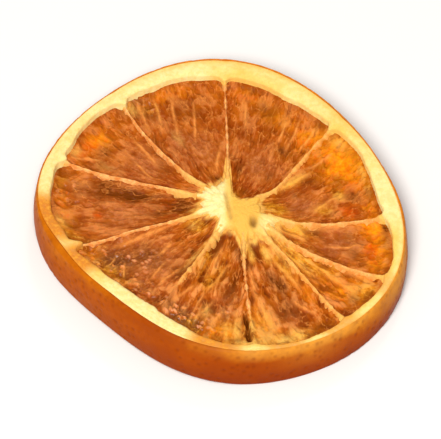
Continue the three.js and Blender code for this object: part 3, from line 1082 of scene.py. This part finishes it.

# %% Where the pulp is orange with a painted glow, mauve with a painted sheen, golden, pale, dark, red or beaded
# Each patch: its middle as an angle and a reach, its half sizes in both, and its strength
PATCHES = {
    "orange_and_glow": (
        (-97, 0.93, 6, 0.07, 0.8), (-88, 0.9, 5, 0.1, 0.45), (-75, 0.85, 5, 0.15, 0.6),
        (-53, 0.68, 3, 0.14, 0.35), (-39, 0.8, 6, 0.13, 0.65), (-8, 0.9, 4, 0.12, 1.0),
        (-18, 0.9, 10, 0.08, 0.75), (28, 0.84, 10, 0.15, 1.4), (13, 0.9, 6, 0.09, 0.5),
        (2, 0.92, 4, 0.06, 0.5), (46, 0.82, 6, 0.1, 0.7), (62, 0.86, 12, 0.07, 0.35),
        (80, 0.92, 7, 0.05, 0.4), (-175, 0.95, 5, 0.06, 0.8), (145.5, 0.88, 5, 0.07, 0.75),
        (172, 0.93, 6, 0.05, 0.4), (-156, 0.93, 4, 0.05, 0.6), (113, 0.93, 12, 0.05, 0.4),
    ),
    "film_and_sheen": (
        (-138, 0.66, 16, 0.2, 0.9), (-92, 0.62, 5, 0.1, 0.7), (-65, 0.78, 4, 0.1, 0.8),
        (-20, 0.62, 7, 0.14, 1.0), (10, 0.42, 12, 0.15, 1.0), (5, 0.6, 4, 0.1, 0.6),
        (62, 0.4, 16, 0.14, 0.9), (108, 0.45, 16, 0.16, 0.8), (117.5, 0.58, 4, 0.08, 1.2),
        (155, 0.73, 3, 0.08, 0.7), (145, 0.55, 12, 0.15, 1.0), (184, 0.6, 12, 0.22, 0.9),
    ),
    "golden": (
        (-147, 0.21, 12, 0.06, 1.1), (11, 0.74, 4, 0.05, 1.0), (-103, 0.91, 4, 0.06, 1.3),
        (-171, 0.16, 4, 0.04, 0.8), (-172, 0.98, 4, 0.04, 0.8), (2.5, 0.58, 4, 0.07, 0.8),
        (-35, 0.66, 4, 0.08, 0.6), (-40, 0.4, 8, 0.2, 1.1), (-36, 0.9, 5, 0.08, 0.7),
        (-16, 0.3, 9, 0.12, 1.0), (-15, 0.96, 8, 0.04, 0.4), (-34, 0.96, 4, 0.05, 0.5),
        (10, 0.18, 14, 0.08, 1.2), (22, 0.98, 14, 0.04, 1.2), (31, 0.45, 3, 0.12, 0.8),
        (43, 0.86, 5, 0.1, 0.7), (35, 0.95, 5, 0.06, 1.2), (66, 0.85, 7, 0.09, 0.3),
        (-112, 0.4, 5, 0.14, 0.5), (-100, 0.42, 5, 0.12, 0.4), (-88, 0.88, 7, 0.1, 0.7),
        (-76, 0.82, 5, 0.14, 0.5), (-100, 0.96, 6, 0.06, 0.9), (-66, 0.96, 6, 0.06, 1.0),
        (-146, 0.94, 9, 0.06, 0.8), (-166, 0.95, 3, 0.05, 1.2), (-162, 0.86, 3, 0.06, 0.5),
        (-54, 0.42, 4, 0.14, 0.6), (-61, 0.28, 4, 0.07, 1.2), (-75, 0.26, 4, 0.06, 1.2),
        (-118, 0.3, 5, 0.12, 0.6), (-104.5, 0.54, 3, 0.06, 0.7), (8.5, 0.25, 6, 0.05, 0.9),
        (120.5, 0.87, 3, 0.05, 0.6), (70, 0.05, 10, 0.03, 0.9), (167.5, 0.95, 3, 0.04, 0.7),
    ),
    "pale": (
        (35, 0.96, 4, 0.04, 0.4), (127, 0.93, 2.5, 0.05, 0.6), (-86, 0.85, 1.8, 0.08, 0.6),
        (-80.5, 0.83, 1.5, 0.05, 0.8), (-75, 0.83, 3.5, 0.12, 0.25), (-69, 0.95, 5, 0.05, 0.7),
        (-81, 0.97, 5, 0.045, 0.8), (32, 0.45, 2, 0.1, 0.4), (-122, 0.42, 2, 0.12, 0.6),
        (-52, 0.3, 1.5, 0.12, 0.6), (155.5, 0.74, 2, 0.05, 0.3), (158, 0.15, 4, 0.03, 0.8),
        (-171.5, 0.16, 4, 0.03, 0.4), (153.5, 0.95, 2, 0.03, 0.6), (-100, 0.76, 2.5, 0.05, 0.5),
        (-150, 0.23, 5, 0.03, 0.4), (117.5, 0.58, 2, 0.06, 0.35), (-175, 0.97, 3, 0.03, 0.4),
        (-61, 0.28, 2.5, 0.05, 0.9), (-75, 0.26, 2.5, 0.05, 0.6), (-40, 0.25, 2, 0.12, 0.5),
    ),
    "dark": (
        (-128, 0.38, 5, 0.08, 0.5), (-143, 0.14, 5, 0.04, 1.0), (-152, 0.6, 3, 0.07, 0.4),
        (-90, 0.5, 4, 0.15, 0.7), (-85, 0.27, 2.2, 0.09, 1.3), (-96, 0.2, 6, 0.04, 0.8),
        (-110, 0.26, 4, 0.05, 0.9), (-108, 0.95, 8, 0.03, 0.5), (-73, 0.24, 4, 0.04, 0.9),
        (-66, 0.46, 4, 0.08, 0.8), (-62, 0.72, 3, 0.06, 0.4), (-57, 0.94, 3, 0.05, 0.5),
        (-56, 0.17, 6, 0.025, 0.7), (-42, 0.2, 4, 0.025, 0.8), (-22, 0.24, 5, 0.03, 0.7),
        (-14, 0.45, 4, 0.07, 0.8), (-27, 0.48, 3, 0.06, 0.4), (54, 0.63, 6, 0.05, 0.8),
        (50, 0.38, 3, 0.05, 0.6), (73, 0.87, 6, 0.05, 0.6), (9, 0.84, 4, 0.06, 0.8),
        (31, 0.75, 4, 0.06, 0.5), (-146, 0.63, 4, 0.06, 0.7), (-14.5, 0.71, 5, 0.07, 0.5),
        (148.5, 0.8, 4, 0.05, 0.7), (78, 0.3, 3, 0.07, 0.8), (80, 0.62, 6, 0.06, 0.4),
        (106, 0.19, 8, 0.03, 0.9), (124, 0.95, 5, 0.04, 0.6), (134, 0.55, 2.5, 0.12, 0.6),
        (177, 0.2, 11, 0.07, 1.3), (169, 0.62, 4, 0.22, 0.95), (173, 0.29, 7, 0.04, 0.5),
        (163, 0.97, 3, 0.04, 0.6), (79.5, 0.97, 3, 0.03, 0.4), (163, 0.23, 3, 0.04, 0.9),
        (133.5, 0.23, 3, 0.04, 0.9), (-61.5, 0.53, 2.5, 0.06, 1.1), (170, 0.5, 4, 0.06, 1.0),
        (-6, 0.99, 4, 0.03, 1.0), (-86, 0.94, 2, 0.04, 0.9), (-89, 0.26, 3, 0.05, 0.7),
        (-40, 0.92, 3, 0.05, 0.6), (-125.5, 0.58, 3, 0.06, 0.8), (8.5, 0.97, 4, 0.04, 0.6),
        (-67, 0.74, 2.5, 0.06, 0.6), (163.5, 0.69, 2.5, 0.07, 0.9), (-12, 0.96, 4, 0.04, 0.4),
        (-75.5, 0.95, 3, 0.04, 0.3), (-177.5, 0.33, 4, 0.06, 0.5), (-22, 0.75, 3, 0.05, 0.6),
        (20.5, 0.42, 3, 0.05, 0.5), (139, 0.44, 4, 0.06, 0.6), (-125, 0.42, 2.5, 0.05, 0.6),
        (19.5, 0.79, 3, 0.05, 0.6), (-174, 0.89, 3, 0.05, 0.7), (-64, 0.66, 7, 0.15, 0.3),
        (111, 0.8, 12, 0.1, 0.45), (172, 0.37, 8, 0.08, 0.4), (-174, 0.36, 5, 0.1, 0.4),
        (47, 0.98, 3, 0.04, 0.5), (60, 0.13, 14, 0.04, 0.5), (27, 0.58, 4, 0.08, 0.7),
        (88, 0.38, 2, 0.03, 0.6), (-174, 0.95, 4, 0.03, 0.4),
    ),
    "red": (
        (173, 0.29, 8, 0.05, 0.9), (170, 0.9, 3, 0.03, 0.6), (-177, 0.73, 2, 0.03, 0.8),
        (154, 0.92, 2.5, 0.04, 0.3), (149, 0.9, 3, 0.05, 0.5), (-18, 0.86, 4, 0.04, 0.8),
        (0, 0.78, 4, 0.08, 0.7), (12, 0.86, 4, 0.06, 0.5), (-98, 0.94, 2.5, 0.06, 0.5),
        (82, 0.91, 3, 0.03, 0.5), (-126, 0.36, 5, 0.06, 0.5), (-132, 0.93, 10, 0.03, 0.4),
        (46, 0.8, 3, 0.05, 0.6), (118, 0.83, 3, 0.08, 0.5),
    ),
    "beads": (
        (-150, 0.84, 9, 0.12, 1.1), (-108, 0.88, 11, 0.09, 1.2), (-130, 0.9, 8, 0.07, 0.6),
        (122, 0.86, 5, 0.1, 0.6), (170, 0.9, 5, 0.08, 0.6), (-92, 0.74, 4, 0.05, 0.7),
        (-142, 0.66, 12, 0.12, 0.55),
    ),
}


def patchwork(kind, angle, reach):
    return sum(
        strength * bell(turn_between(angle, middle), half_turn) * bell(reach - at, half_reach)
        for middle, at, half_turn, half_reach, strength in PATCHES[kind]
    )


print("patches:", {kind: len(places) for kind, places in PATCHES.items()})

# %% Threads: walls of sacs that stayed whole and pale
# Each one: the angle and reach where it starts, those where it ends, and half its width in mm
THREADS = (
    (-158, 0.36, -157, 0.8, 0.45), (-144, 0.45, -140, 0.6, 0.3), (-134, 0.6, -132, 0.8, 0.25),
    # The one from -147 to -141 stands for a glint: a painted highlight
    (-152, 0.8, -149, 0.95, 0.2), (-147, 0.8, -141, 0.92, 0.25), (-125, 0.55, -126, 0.8, 0.3),
    (-105, 0.22, -108, 0.5, 0.4), (-110, 0.6, -117, 0.82, 0.35), (-96, 0.35, -104, 0.6, 0.25),
    (-104, 0.62, -106, 0.9, 0.25), (-99, 0.65, -104, 0.88, 0.3), (-94, 0.74, -97, 0.88, 0.4),
    (-91, 0.78, -90, 1.0, 0.5), (-87, 0.7, -86, 0.95, 0.4), (-78, 0.33, -77, 0.65, 0.35),
    (-76, 0.66, -71, 0.92, 0.5), (-77, 0.18, -75, 0.33, 0.35), (-60, 0.68, -55, 0.85, 0.3),
    (-58, 0.33, -53, 0.65, 0.35), (-66, 0.86, -64, 1.0, 0.3), (-46, 0.15, -44, 0.65, 0.4),
    (-38, 0.55, -37, 0.92, 0.4), (-33, 0.5, -31, 0.92, 0.35), (-25, 0.15, -24, 0.42, 0.35),
    (-19, 0.2, -20, 0.42, 0.4), (-14, 0.3, -9, 0.75, 0.45), (-22, 0.55, -17, 0.78, 0.25),
    (1, 0.48, 15, 0.78, 0.35), (31, 0.32, 31, 0.62, 0.4), (34, 0.6, 33, 0.9, 0.3),
    (46, 0.7, 48, 0.95, 0.3), (53, 0.64, 56, 0.95, 0.3), (59, 0.64, 62, 0.92, 0.35),
    (66, 0.66, 78, 0.69, 0.25), (80, 0.64, 81, 0.9, 0.3), (101, 0.24, 95, 0.46, 0.3),
    (109, 0.52, 103, 0.85, 0.25), (117, 0.6, 110, 0.92, 0.25), (121, 0.7, 117, 0.95, 0.25),
    (127, 0.72, 123, 0.98, 0.35), (140, 0.48, 136, 0.75, 0.3), (151, 0.42, 146, 0.62, 0.2),
    (153, 0.78, 157, 0.97, 0.3),
)


def threads(angle, reach):
    total = np.zeros_like(angle)
    for start_angle, start, end_angle, end, half_width in THREADS:
        along = (reach - start) / (end - start)
        middle = mix(start_angle, end_angle, along) + 0.4 * np.sin(5 * along + start_angle)
        aside = np.radians(turn_between(angle, middle)) * reach * FACE_RADIUS
        ends = fade(along, -0.1, 0.25) * fade(along, 1.1, 0.7)
        total = np.maximum(total, ends * bell(aside, half_width))
    return total


print(len(THREADS), "walls stayed whole")

# %% One segment of the pulp
PULP_SPACING = 0.2
PULP_INNER, PULP_OUTER = 0.02, 1.03
SAC_REACH = 27.0  # the length of a ray, in mm, that the sac pattern is laid out on
MIDDLE_REACH, SHORTER_OUTWARD = 0.6, 0.25  # where a sac has its plain width, and how they shorten
LIVELY_MIDDLE, LIVELY_TURN, QUIET = -95, 75, 0.42  # the near side dried into deeper folds
OPEN_MIDDLE, OPEN_TURN = -128, 28  # and the wall's foot is in no shade on the near left
THREAD_RISE, DARK_SINK = 0.15, 0.35
BETWEEN_SEGMENTS = 7.3  # how far apart two segments lie in the pattern of the sacs
OTHER_SIDE = (40, 40, 0)  # the lower skin takes its sacs from another part of the pattern


def segment_marks(index, angle, share, reach, width):
    """What each point of a segment's skin carries for its sacs and its finish."""
    edge = np.minimum(share, 1 - share) * width
    past_core = reach - star_reach(angle)
    fixed = fade(reach, 1.0, 0.965) * fade(past_core, 0.0, 0.05)
    marks = {kind: patchwork(kind, angle, reach) for kind in PATCHES}
    marks["golden"] = np.maximum(marks["golden"], 0.8 * near_foot(angle, reach))
    open_side = bell(turn_between(angle, OPEN_MIDDLE), OPEN_TURN)
    bright = np.maximum(np.minimum(marks["golden"], 1), open_side)
    # Painted shade at the wall's foot, left out where the pulp is golden or lies open on the near left
    foot_shade = 0.25 * fade(reach, 0.965, 0.99) * (1 - bright)
    split = np.minimum(slit(index, share, reach, width), 1)
    # The dark mark carries the dark patches, the painted shade at the wall's foot and painted shade in the
    # slit
    marks["dark"] = np.maximum(marks["dark"] + foot_shade, 1.1 * split)
    marks["pale"] = np.maximum(marks["pale"], 0.9 * fade(past_core, 0.03, -0.01)) * (1 - split)
    marks["lively"] = mix(QUIET, 1.0, bell(turn_between(angle, LIVELY_MIDDLE), LIVELY_TURN))
    marks["thread"] = threads(angle, reach) * (1 - split)
    marks["free"] = fade(edge, 0.1, 0.7) * fixed * (1 - 0.4 * marks["film_and_sheen"])
    return marks


def segment_piece(index):
    """One segment: a closed loop of points across its upper skin and back across its lower one."""
    turn = membrane_angle(index + 1, 1.0) - membrane_angle(index, 1.0)
    columns = int(math.radians(turn) * SAC_REACH / PULP_SPACING)
    rows = int(SAC_REACH / PULP_SPACING)
    share, reach = np.meshgrid(np.linspace(0, 1, columns), np.linspace(PULP_INNER, PULP_OUTER, rows))
    angle = mix(membrane_angle(index, reach), membrane_angle(index + 1, reach), share)
    x, y = pulp_plan(angle, reach)
    width = reach * wall_foot(angle) * math.radians(turn)
    raised = THREAD_RISE * threads(angle, reach) - DARK_SINK * patchwork("dark", angle, reach)
    raised = raised + NEAR_CLIMB * near_foot(angle, reach) - HOLE_DEPTH * hole(x, y)
    top_relief = pulp_relief(x, y, share, reach, width) + raised - slit(index, share, reach, width)
    top = np.stack([x, y, upper_height(top_relief, x, y)], -1)
    under_relief = pulp_relief(x, -y, share, reach, width)
    under = np.stack([x, y - BASE_SHIFT, lower_height(under_relief, x, y)], -1)
    across = (share - 0.5) * mix(math.radians(turn) * MIDDLE_REACH * SAC_REACH, width, 0.5)
    along = SAC_REACH * reach * (1 + SHORTER_OUTWARD * reach)
    sacs = np.stack([across, along, np.full_like(along, BETWEEN_SEGMENTS * index)], -1)
    marks = segment_marks(index, angle, share, reach, width)
    marks = {name: np.concatenate([value, value[:, ::-1]], 1).ravel() for name, value in marks.items()}
    marks["free"] *= np.tile(np.repeat([1.0, -0.8], columns), rows)
    marks["sacs"] = np.concatenate([sacs, sacs[:, ::-1] + OTHER_SIDE], 1).reshape(-1, 3)
    loop = 2 * columns
    first = np.arange(columns - 1)
    cap = np.stack([first, first + 1, loop - 2 - first, loop - 1 - first], -1)
    last_cap = (cap + (rows - 1) * loop)[:, ::-1]
    faces = np.concatenate([grid_quads(rows, loop), cap, last_cap])
    return make_piece(f"pulp_{index + 1}", np.concatenate([top, under[:, ::-1]], 1), faces, marks)


for index in range(SEGMENTS):
    segment = grow(segment_piece(index), juice_sacs, Material=dried_pulp, Seed=float(index))
    join_body(segment)

# %% [markdown]
# The membranes
#
# Between the segments stand thin skins. They shrank less than the pulp, so their edges stand out
# of both faces as pale lines, thick at the core and at the rim. Each is a wall lofted along its
# line. Geometry Nodes do it for all ten: each line becomes a curve, a profile is swept along it,
# and each point is set between the wall's upper and lower edge by its place on the profile.
# Their finish is a pale peach with brown flecks, creamier where they join the core and the rim.

# %% The tree that raises the walls
def membrane_growth():
    growth = Growth("membrane_walls", (
        ("Thickness", "NodeSocketFloat", 0.45),
        ("Root thickness", "NodeSocketFloat", 0.65),
        ("Rim thickness", "NodeSocketFloat", 0.9),
        ("Frill", "NodeSocketFloat", 0.5),
    ))
    given = growth.given
    curves = growth.add("GeometryNodeMeshToCurve", {0: growth.mesh}).outputs[0]
    tangent = growth.add("GeometryNodeInputTangent").outputs[0]
    sideways = growth.vector("NORMALIZE", growth.vector("CROSS_PRODUCT", tangent, (0.0, 0.0, 1.0)))
    curves = growth.store(curves, "sideways", sideways, "FLOAT_VECTOR")
    position = growth.add("GeometryNodeInputPosition").outputs[0]
    curves = growth.store(curves, "crest", position, "FLOAT_VECTOR")
    ring = growth.add("GeometryNodeCurvePrimitiveCircle", {"Resolution": 28, "Radius": 1.0}).outputs[0]
    ring_x, ring_y, _ = growth.split(position)
    blunt = growth.math("POWER", growth.math("ABSOLUTE", ring_y), 0.35)
    ring = growth.store(ring, "flank", ring_x)
    ring = growth.store(ring, "level", growth.times(growth.math("SIGN", ring_y), blunt))
    inputs = {"Curve": curves, "Profile Curve": ring, "Fill Caps": True}
    walls = growth.add("GeometryNodeCurveToMesh", inputs).outputs[0]
    crest, foot = growth.named("crest", "FLOAT_VECTOR"), growth.named("foot", "FLOAT_VECTOR")
    reach, level = growth.named("reach"), growth.named("level")
    seeded = growth.vector("ADD", growth.scaled(crest, 1 / MM), growth.combine(*[given["Seed"]] * 3))
    uneven = growth.fade(growth.noise(seeded, 0.9, detail=3.0)[0], 0.3, 0.7, 0.5, 1.5)
    root = growth.times(given["Root thickness"], growth.fade(reach, 0.4, 0.12))
    rim = growth.times(given["Rim thickness"], growth.fade(reach, 0.92, 1.0))
    thick = growth.plus(growth.times(given["Thickness"], uneven, growth.named("stout")), root, rim)
    share = growth.times(growth.plus(level, 1.0), 0.5)
    upright = growth.vector("ADD", foot, growth.scaled(growth.vector("SUBTRACT", crest, foot), share))
    half = growth.times(thick, 0.5 * MM, growth.named("flank"))
    flanked = growth.vector("ADD", upright, growth.scaled(growth.named("sideways", "FLOAT_VECTOR"), half))
    frill = growth.times(growth.swing(seeded, 0.9, given["Frill"], detail=3.0), level, MM)
    end = growth.vector("ADD", flanked, growth.combine(0.0, 0.0, frill))
    growth.end(growth.move(walls, Position=end))
    return growth


membrane_walls = membrane_growth()

# %% The finish of the membranes
def membrane_finish():
    finish = Finish("dried_membrane")
    fleck = blotches(finish, 1.1, 0.15)
    brown = blotches(finish, 0.7, 0.12)
    reach = finish.mark("reach")
    peach = finish.layers(
        finish.tint(shade(252, 188, 112), fleck, shade(228, 138, 62)),
        (finish.fade(finish.mark("stout"), 1.47, 1.6, 0.0, 0.6), shade(240, 174, 76)),
        (finish.fade(reach, 0.42, 0.2), shade(240, 184, 92)),
        (finish.fade(reach, 0.92, 0.99), shade(242, 190, 90)),
        (finish.times(brown, 0.25), shade(200, 108, 42)),
        (finish.times(finish.mark("faint"), 0.8), shade(196, 104, 36)),
        (finish.mark("golden"), finish.tint(shade(226, 150, 48), fleck, shade(240, 178, 84))),
    )
    finish.set(Base_Color=peach, Roughness=0.5, Specular_IOR_Level=0.2)
    finish.set(Subsurface_Weight=0.2, Subsurface_Radius=(1.0, 0.5, 0.2), Subsurface_Scale=0.5 * MM)
    finish.bump(dry_grain(finish, 0.25, 0.7), 0.04 * MM)
    return finish.done()


dried_membrane = membrane_finish()

# %% The ten walls
MEMBRANE_START, MEMBRANE_END, MEMBRANE_STEPS = 0.12, 1.03, 140
CREST = 0.38  # how far a membrane's edge stands out of the pulp that clings to it
FOOT_DROP = 0.1
# Two sank into the pulp towards the rim: from which reach, how deep, and how golden they are there
SUNKEN = {1: (0.62, 0.45, 0.0), 2: (0.66, 0.4, 0.9)}


def membrane_lines():
    """The upper edges of the membranes as lines of points. Each point knows the lower edge's."""
    crests, feet, edges, faint, golden = [], [], [], [], []
    reach = np.linspace(MEMBRANE_START, MEMBRANE_END, MEMBRANE_STEPS)
    for index in range(SEGMENTS):
        angle = membrane_angle(index, reach)
        x, y = pulp_plan(angle, reach)
        sunk_from, drop, gold = SUNKEN.get(index, (1.0, 0.0, 0.0))
        sunken = fade(reach, sunk_from, sunk_from + 0.15) * (index in SUNKEN)
        faint.append(sunken * (1 - gold))
        golden.append(sunken * gold)
        top_relief = pulp_relief(x, y, 0.0, reach, 1.0) + CREST - drop * sunken
        top_relief = top_relief + NEAR_CLIMB * near_foot(angle, reach)
        under_relief = pulp_relief(x, -y, 0.0, reach, 1.0) + CREST
        crests.append(np.stack([x, y, upper_height(top_relief, x, y)], -1))
        feet.append(np.stack([x, y - BASE_SHIFT, lower_height(under_relief, x, y) - FOOT_DROP], -1))
        first = index * MEMBRANE_STEPS
        edges += [(first + step, first + step + 1) for step in range(MEMBRANE_STEPS - 1)]
    mesh = bpy.data.meshes.new("membranes")
    mesh.from_pydata(((np.concatenate(crests) + CENTRING) * MM).tolist(), edges, [])
    add_mark(mesh, "foot", (np.concatenate(feet) + CENTRING) * MM)
    add_mark(mesh, "reach", np.tile(reach, SEGMENTS))
    add_mark(mesh, "faint", np.concatenate(faint))
    add_mark(mesh, "golden", np.concatenate(golden))
    add_mark(mesh, "stout", np.repeat([stout for *_, stout in MEMBRANES], MEMBRANE_STEPS))
    return make_object("membranes", mesh)


membranes = grow(membrane_lines(), membrane_walls, Material=dried_membrane, Seed=5.0)
join_body(membranes)

# %% [markdown]
# The core
#
# The membranes meet in a pale core of pith, longer than it is wide, with an arm towards each of
# them and a small hole where the fruit's middle dried open. It is a closed star: rings of points
# about its middle, over the top and back along the underside. It wears the pith's finish and
# its spongy swell, because it is the same stuff.

# %% The star of pith
CORE_COLUMNS, CORE_ROWS = 480, 36
CREASE_TOP, CREASE_FOOT = (-0.1, 3.3), (1.1, -3.0)
CREASE_DEPTH, CREASE_HALF_WIDTH = 0.3, 0.35
RIGHT_WHITE, RIGHT_WHITE_TURN = -30, 22  # the pith right of the hole is whiter
FIBRES = ((13, 0.05, 9), (22, 0.05, 3), (37, 0.03, 0))
DOME, CORE_LIFT, EDGE_FALL = 0.25, 0.25, 0.8


def crease(x, y):
    """How close a point is to the fold that runs across the core, from 0 to 1."""
    along_x, along_y = CREASE_FOOT[0] - CREASE_TOP[0], CREASE_FOOT[1] - CREASE_TOP[1]
    length = math.hypot(along_x, along_y)
    from_x, from_y = x - CREASE_TOP[0], y - CREASE_TOP[1]
    along = (from_x * along_x + from_y * along_y) / length
    aside = (from_x * along_y - from_y * along_x) / length
    return bell(aside, CREASE_HALF_WIDTH) * fade(along, -0.5, 1.0) * fade(along, length + 0.5, length - 1.0)


def core_piece():
    columns = np.linspace(-180, 180, CORE_COLUMNS, endpoint=False)
    angle, ring = np.meshgrid(columns, np.linspace(0, 1, CORE_ROWS))
    edge_x, edge_y = core_edge(angle)
    reach = star_reach(angle) * np.clip(2 * ring - 1, 0, 1)
    ray_x, ray_y = pulp_plan(angle, reach)
    inner = np.clip(2 * ring, 0, 1)
    x = np.where(ring < 0.5, mix(CORE_X, edge_x, inner), ray_x)
    y = np.where(ring < 0.5, mix(CORE_Y, edge_y, inner), ray_y)
    opening = hole(x, y)
    fold = crease(x, y)
    fibres = waves_at(angle, FIBRES) * fade(ring, 0.5, 0.8)
    dome = DOME * (1 - ring**2) + CORE_LIFT - EDGE_FALL * fade(ring, 0.82, 1.0)
    relief = CORE_RISE * bell(reach, CORE_FLARE) + dome + fibres - HOLE_DEPTH * opening - CREASE_DEPTH * fold
    top = np.stack([x, y, upper_height(relief, x, y)], -1)
    under = np.stack([x, y - BASE_SHIFT, lower_height(relief, x, y)], -1)
    golden = 0.9 * np.maximum(fade(x, -0.4, 1.8), fade(reach, 0.12, 0.22))
    right = bell(turn_between(angle, RIGHT_WHITE), RIGHT_WHITE_TURN) * fade(reach, 0.03, 0.1)
    left_white = fade(x, 0.4, -0.6) * fade(reach, 0.2, 0.12)
    marks = {
        "golden": golden * (1 - 0.7 * right),
        "white": np.maximum(left_white, 0.6 * right * fade(reach, 0.25, 0.18)),
        "stain": 0.5 * fade(ring, 0.8, 1.0),
        "shadow": np.maximum(0.85 * opening, 0.4 * fold),
        "skin": fade(ring, 1.0, 0.9),
    }
    marks = {name: np.concatenate([value, value[::-1]], 0).ravel() for name, value in marks.items()}
    faces = grid_quads(2 * CORE_ROWS, CORE_COLUMNS)
    return make_piece("core", np.concatenate([top, under[::-1]], 0), faces, marks)


core = grow(core_piece(), spongy_pith, Material=dried_pith, Seed=23.0, Swell=0.3, Swell_size=1.6)
join_body(core)

# %% [markdown]
# The size
#
# The visual slice keeps to the packed one's box: only the swells and folds pass it by hundredths
# of a millimetre.

# %% The end
bpy.context.view_layer.update()
